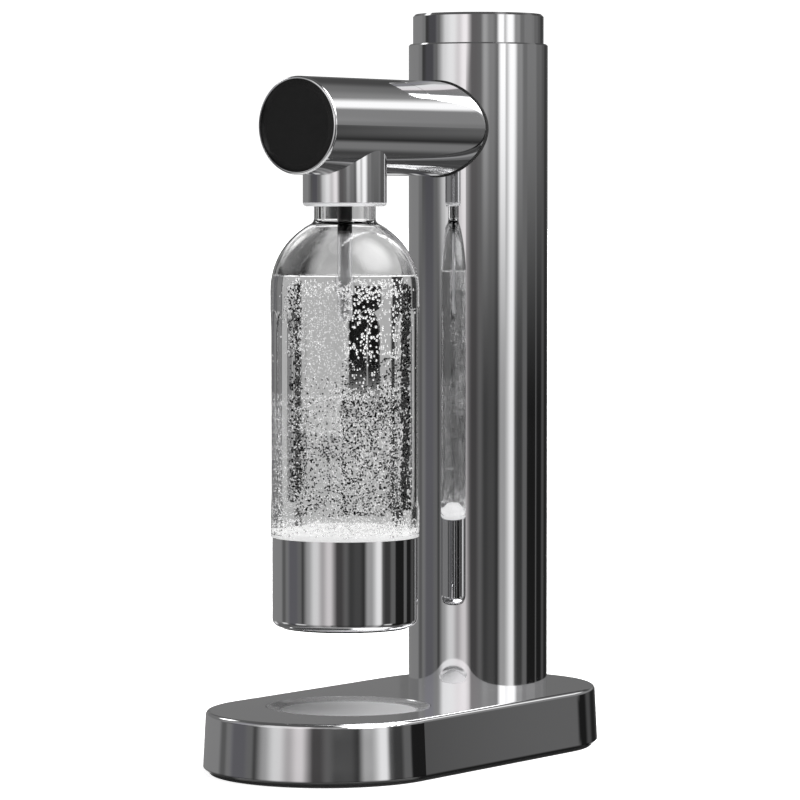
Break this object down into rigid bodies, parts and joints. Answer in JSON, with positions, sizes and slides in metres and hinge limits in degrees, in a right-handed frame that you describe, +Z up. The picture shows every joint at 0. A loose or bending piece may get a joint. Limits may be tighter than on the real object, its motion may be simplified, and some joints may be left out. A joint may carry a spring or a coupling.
{
  "type": "sparkling water maker",
  "caption": "Polished steel carbonating machine: column on a long round-ended base, push button on top, arm with nozzle, screw-in fluted bottle and lift-out drip tray.",
  "frame": {"origin": "middle of the base's footprint, on the table", "axes": "+Z up, the front of the machine faces -Y, +X to the machine's left as seen from behind it"},
  "size_m": [0.134, 0.28, 0.416],
  "materials": {
    "polished_steel": "polished",
    "tray_steel": "satin",
    "spring_steel": "satin",
    "plated_steel": "satin",
    "black_plastic": "matte",
    "black_gloss": "gloss",
    "white_nylon": "matte",
    "black_rubber": "matte",
    "cast_alloy": "satin",
    "brass": "machined",
    "copper": "drawn",
    "clear_plastic": "clear"
  },
  "bodies": {
    "machine": {"base_shell": "polished_steel", "column_tube": "polished_steel", "arm_tube": "polished_steel", "nozzle_shroud": "polished_steel", "button_springs": "spring_steel", "lever_pin": "spring_steel", "carbonation_tube": "spring_steel", "nozzle_tip": "spring_steel", "base_screws": "plated_steel", "socket_screws": "plated_steel", "arm_bolts": "plated_steel", "collar_screws": "plated_steel", "bracket_screws": "plated_steel", "lever_bracket": "plated_steel", "base_plate": "black_plastic", "guide_ring": "black_plastic", "head_frame": "black_plastic", "bottle_collar": "black_plastic", "end_cap": "black_gloss", "nozzle_block": "white_nylon", "foot_ring": "black_rubber", "pin_seal": "black_rubber", "cylinder_seal": "black_rubber", "bottle_seal": "black_rubber", "arm_gasket": "black_rubber", "column_socket": "cast_alloy", "arm_plug": "cast_alloy", "valve_body": "brass", "valve_locknut": "brass", "pipe_nuts": "brass", "relief_valve": "brass", "gas_pipe": "copper"},
    "button": {"push_button": "polished_steel", "button_core": "white_nylon", "guide_rods": "spring_steel", "rod_clips": "plated_steel"},
    "lever": {"valve_lever": "spring_steel"},
    "valve_pin": {"valve_pin": "spring_steel", "cylinder_poppet": "brass"},
    "drip_tray": {"drip_tray": "tray_steel"},
    "cylinder": {"co2_cylinder": "cast_alloy", "cylinder_valve": "brass"},
    "cylinder_cover": {"cylinder_cover": "black_plastic"},
    "bottle_carrier": {"cup_foot": "black_rubber"},
    "bottle": {"bottle": "clear_plastic", "bottle_cup": "polished_steel"}
  },
  "joints": [
    {"name": "button_press", "type": "slide", "parent": "machine", "child": "button", "axis": [0, 0, -1], "range_m": [0, 0.006], "stiffness_N_per_m": 900, "springref_m": -0.012, "deforming": ["button_springs"]},
    {"name": "lever_swing", "type": "hinge", "parent": "machine", "child": "lever", "pos_m": [0, 0.0965, 0.3823], "axis": [1, 0, 0], "range_deg": [0, 6.7]},
    {"name": "pin_press", "type": "slide", "parent": "machine", "child": "valve_pin", "axis": [0, 0, -1], "range_m": [0, 0.0031]},
    {"name": "tray_lift", "type": "slide", "parent": "machine", "child": "drip_tray", "axis": [0, 0, 1], "range_m": [0, 0.03]},
    {"name": "cylinder_unscrew", "type": "hinge", "parent": "machine", "child": "cylinder", "pos_m": [0, 0.0705, 0.2], "axis": [0, 0, -1], "range_deg": [0, 1440]},
    {"name": "cover_turn", "type": "hinge", "parent": "machine", "child": "cylinder_cover", "pos_m": [0, 0.0705, 0.005], "axis": [0, 0, 1], "range_deg": [0, 45]},
    {"name": "bottle_lower", "type": "slide", "parent": "machine", "child": "bottle_carrier", "axis": [0, 0, -1], "range_m": [0, 0.0101]},
    {"name": "bottle_unscrew", "type": "hinge", "parent": "bottle_carrier", "child": "bottle", "pos_m": [0, -0.056, 0.2], "axis": [0, 0, -1], "range_deg": [0, 720]}
  ],
  "couplings": [
    {"joint": "lever_swing", "follows": "button_press", "rad_per_m": 19.231},
    {"joint": "pin_press", "follows": "button_press", "ratio": 0.5},
    {"joint": "bottle_lower", "follows": "bottle_unscrew", "m_per_rad": 0.00079577}
  ]
}
